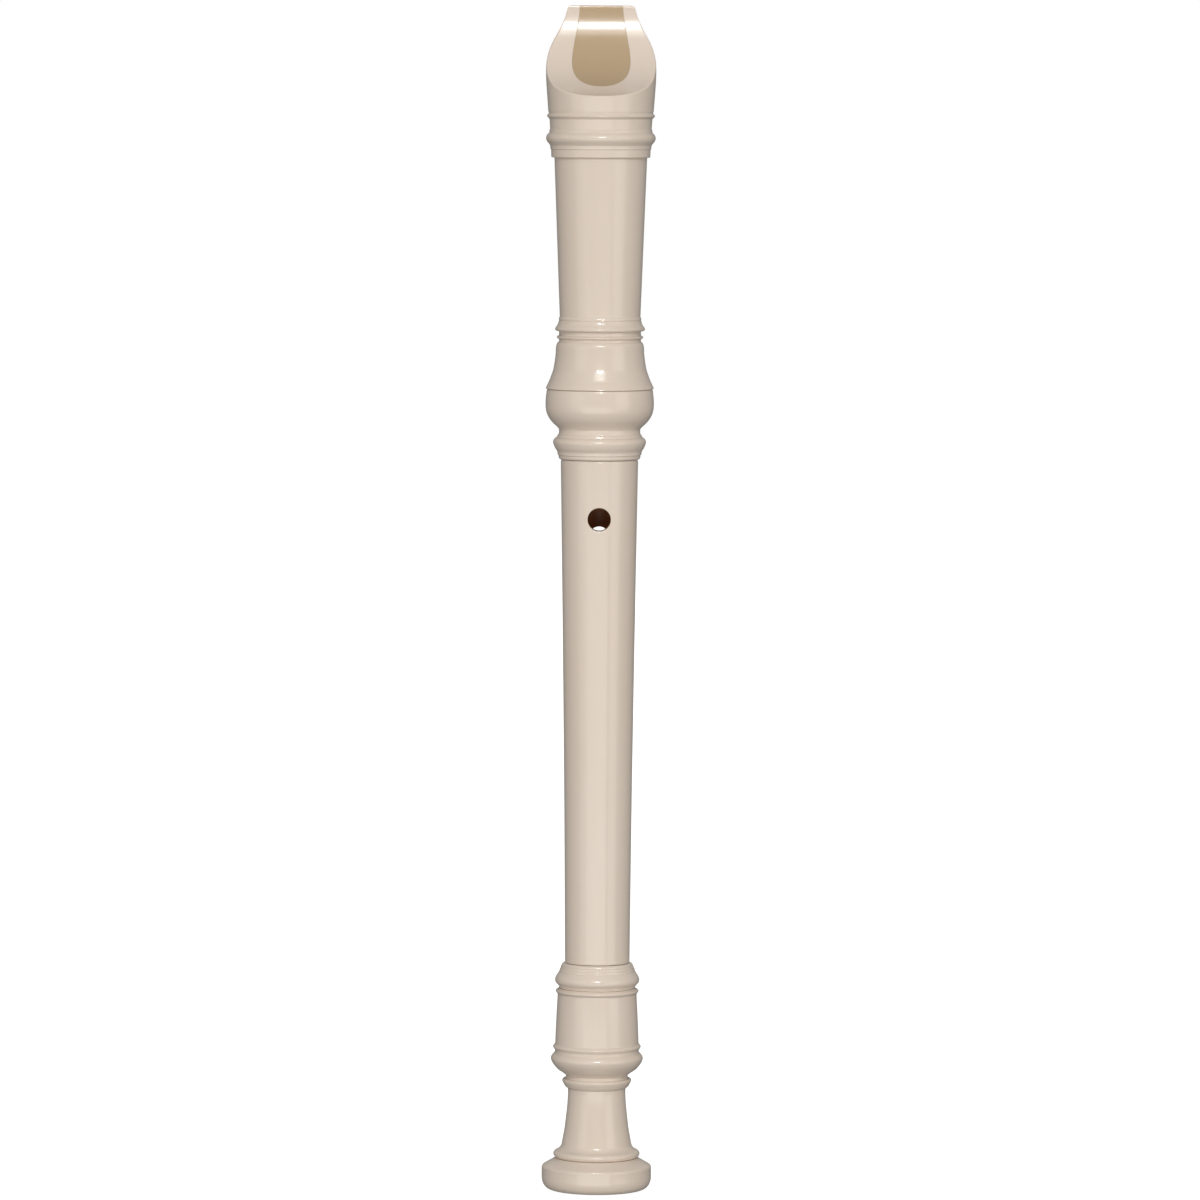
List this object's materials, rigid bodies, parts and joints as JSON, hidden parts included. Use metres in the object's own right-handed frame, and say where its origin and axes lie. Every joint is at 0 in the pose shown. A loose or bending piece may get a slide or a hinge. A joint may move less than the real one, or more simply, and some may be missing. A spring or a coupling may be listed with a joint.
{
  "type": "soprano recorder",
  "caption": "Three-joint baroque-style soprano recorder in moulded plastic, with a fitted block, turned rings, finger and thumb holes and a turning foot.",
  "frame": {"origin": "centre of the base, on the surface that the foot stands on", "axes": "+Z along the bore towards the beak, +Y towards the window and finger holes, -Y towards the thumb hole"},
  "size_m": [0.0306, 0.0306, 0.33],
  "materials": {
    "ivory_plastic": "glossy moulded ivory plastic",
    "ring_plastic": "glossy moulded ivory plastic",
    "tan_block": "satin tan plastic"
  },
  "bodies": {
    "middle": {"middle_joint": "ivory_plastic"},
    "head": {"head_body": "ivory_plastic", "block": "tan_block", "head_socket_ring": "ring_plastic"},
    "foot": {"foot_body": "ivory_plastic", "foot_socket_ring": "ring_plastic", "foot_base_ring": "ring_plastic"}
  },
  "joints": [
    {"name": "head_slide", "type": "slide", "parent": "middle", "child": "head", "axis": [0, 0, 1], "range_m": [0, 0.025]},
    {"name": "foot_turn", "type": "hinge", "parent": "middle", "child": "foot", "pos_m": [0, 0, 0.057], "axis": [0, 0, 1], "continuous": true}
  ]
}
